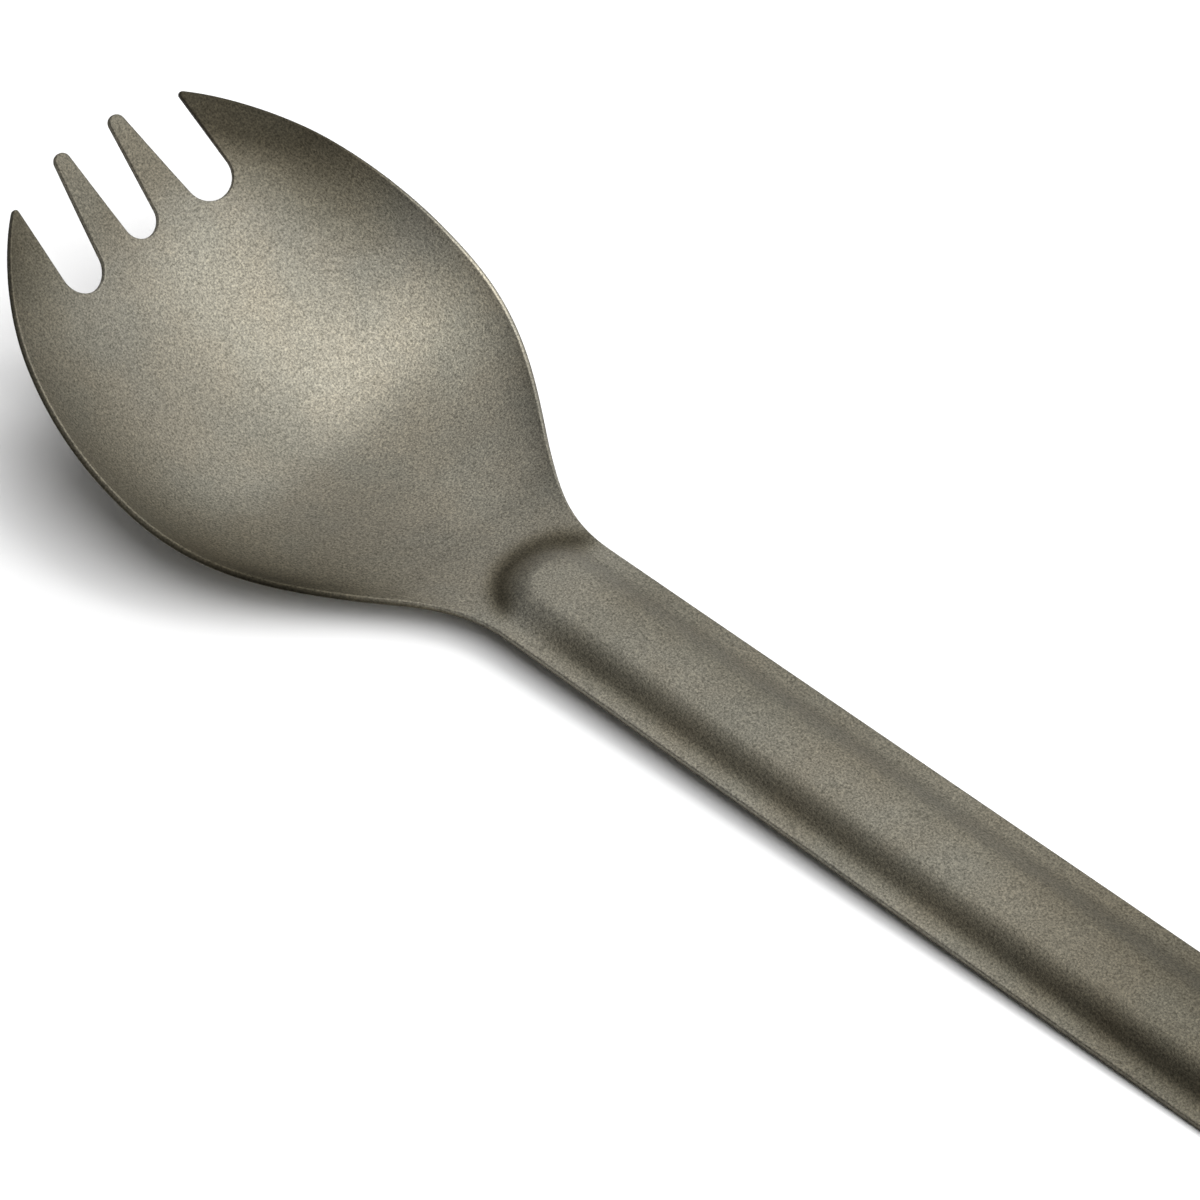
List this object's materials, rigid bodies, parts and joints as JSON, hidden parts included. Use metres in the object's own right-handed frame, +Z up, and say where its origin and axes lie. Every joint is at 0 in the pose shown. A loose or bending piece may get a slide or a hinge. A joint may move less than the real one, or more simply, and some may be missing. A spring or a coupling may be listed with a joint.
{
  "type": "spork with carabiner",
  "caption": "Pressed titanium spork: deep bowl ending in tines, straight handle with a raised bead, with an assumed hang hole and small spring-gate carabiner.",
  "frame": {"origin": "centre of the small flat under the bowl that rests on the table", "axes": "+X along the spork from tines to tail, +Z up out of the bowl, Y across, handle centred on y = 0"},
  "size_m": [0.1955, 0.0398, 0.0213],
  "materials": {
    "titanium": "bead-blasted, matte, warm grey titanium",
    "frame_steel": "tumbled stainless steel",
    "gate_steel": "tumbled stainless steel",
    "rivet_steel": "turned stainless steel",
    "pin_steel": "turned stainless steel",
    "plunger_brass": "turned brass",
    "spring_steel": "drawn spring wire"
  },
  "bodies": {
    "spork": {"spork": "titanium"},
    "carabiner": {"carabiner_frame": "frame_steel", "hinge_rivet": "rivet_steel"},
    "gate": {"carabiner_gate": "gate_steel", "latch_pin": "pin_steel", "gate_spring": "spring_steel"},
    "plunger": {"gate_plunger": "plunger_brass"}
  },
  "joints": [
    {"name": "carabiner_tilt", "type": "hinge", "parent": "spork", "child": "carabiner", "pos_m": [0.135, 0, 0.00452], "axis": [1, 0, 0], "range_deg": [0, 114]},
    {"name": "gate_open", "type": "hinge", "parent": "carabiner", "child": "gate", "pos_m": [0.1434, 0.00503, 0.00779], "axis": [0, 0.5446, -0.8387], "range_deg": [0, 32], "stiffness_Nm_per_rad": 0.02},
    {"name": "plunger_slide", "type": "slide", "parent": "gate", "child": "plunger", "axis": [1, 0, 0], "range_m": [0, 0.00034], "deforming": ["gate_spring"]}
  ],
  "couplings": [
    {"joint": "plunger_slide", "follows": "gate_open", "m_per_rad": 0.00059}
  ]
}
